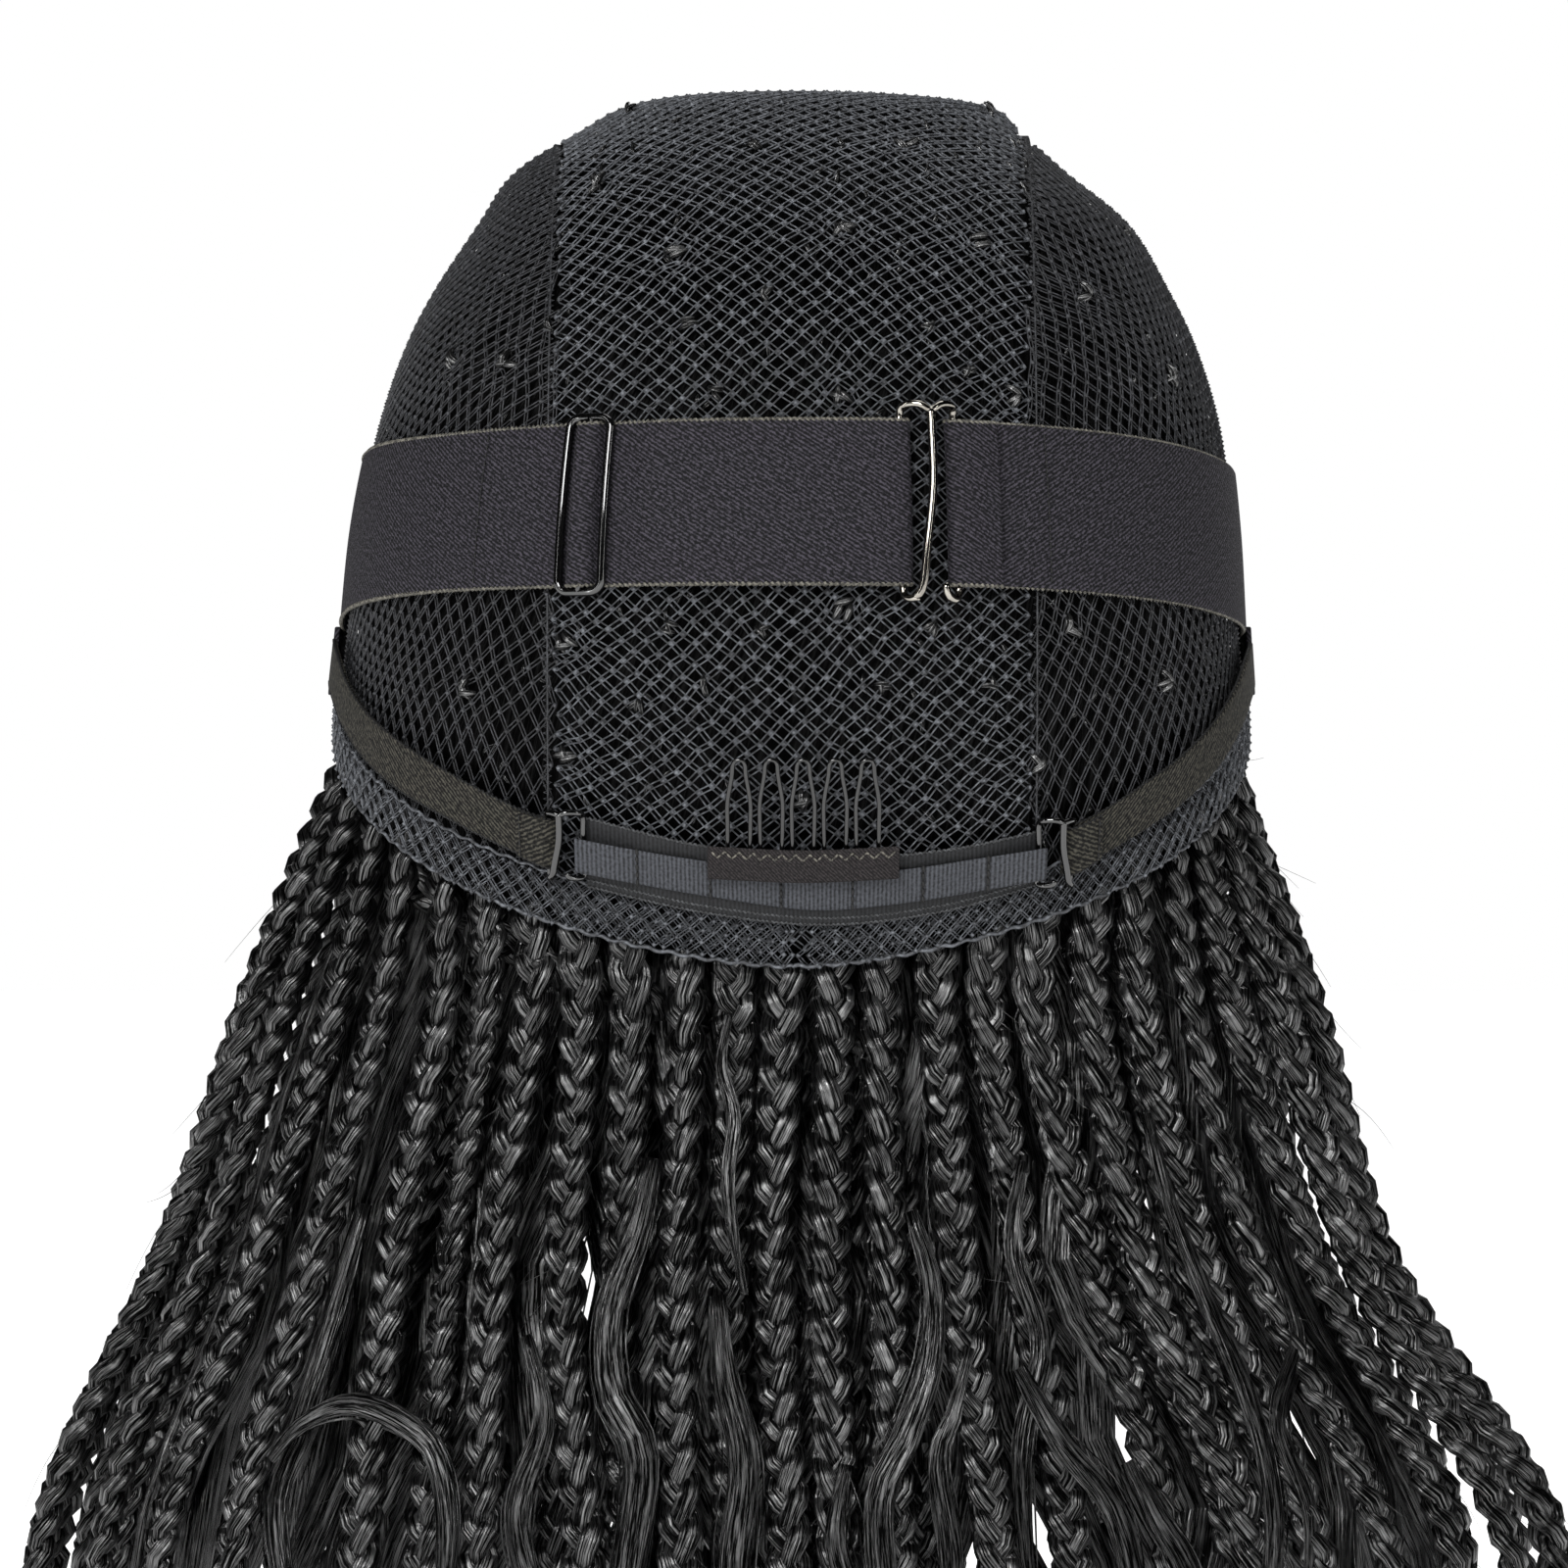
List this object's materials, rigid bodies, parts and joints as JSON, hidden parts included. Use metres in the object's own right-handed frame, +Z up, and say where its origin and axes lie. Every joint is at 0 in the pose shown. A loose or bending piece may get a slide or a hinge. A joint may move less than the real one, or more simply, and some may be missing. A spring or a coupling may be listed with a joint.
{
  "type": "braid wig",
  "caption": "Hollow net wig cap turned inside out, with elastic band, slider, swan hooks, nape straps, loop tape and comb, and plaited braids hanging round its rim.",
  "frame": {"origin": "inside of the crown, where the head bears, at the mount head_seat", "axes": "+Z up, -Y towards the nape, which the picture shows, +Y towards the forehead, +X to the right of the picture"},
  "size_m": [0.3219, 0.2128, 0.3741],
  "materials": {
    "net": "matt nylon net",
    "elastic": "matt knitted elastic",
    "strap": "matt woven elastic",
    "ribbon": "grosgrain ribbon",
    "cover": "matt cotton tape",
    "enamel": "glossy black",
    "gunmetal": "polished gunmetal",
    "hair": "satin synthetic hair"
  },
  "bodies": {
    "root": {"band_hook": "gunmetal", "band_slider": "enamel", "braid_01": "hair", "braid_02": "hair", "braid_03": "hair", "braid_04": "hair", "braid_05": "hair", "braid_06": "hair", "braid_07": "hair", "braid_08": "hair", "braid_09": "hair", "braid_10": "hair", "braid_11": "hair", "braid_12": "hair", "braid_13": "hair", "braid_14": "hair", "braid_15": "hair", "braid_16": "hair", "braid_17": "hair", "braid_18": "hair", "braid_19": "hair", "braid_20": "hair", "braid_21": "hair", "braid_22": "hair", "braid_23": "hair", "braid_24": "hair", "braid_25": "hair", "braid_26": "hair", "braid_27": "hair", "braid_28": "hair", "braid_29": "hair", "braid_30": "hair", "braid_31": "hair", "braid_32": "hair", "braid_33": "hair", "braid_34": "hair", "braid_35": "hair", "braid_36": "hair", "braid_37": "hair", "braid_38": "hair", "braid_39": "hair", "braid_40": "hair", "braid_roots_forehead": "hair", "braid_roots_left": "hair", "braid_roots_nape": "hair", "braid_roots_right": "hair", "cap_net": "net", "comb_cover": "cover", "comb_wire": "enamel", "ear_tab_left": "elastic", "ear_tab_right": "elastic", "elastic_left": "elastic", "elastic_right": "elastic", "loop_tape": "ribbon", "nape_hook_left": "enamel", "nape_hook_right": "enamel", "nape_ribbon": "ribbon", "nape_strap_left": "strap", "nape_strap_right": "strap", "rim_hem": "net"}
  },
  "joints": []
}
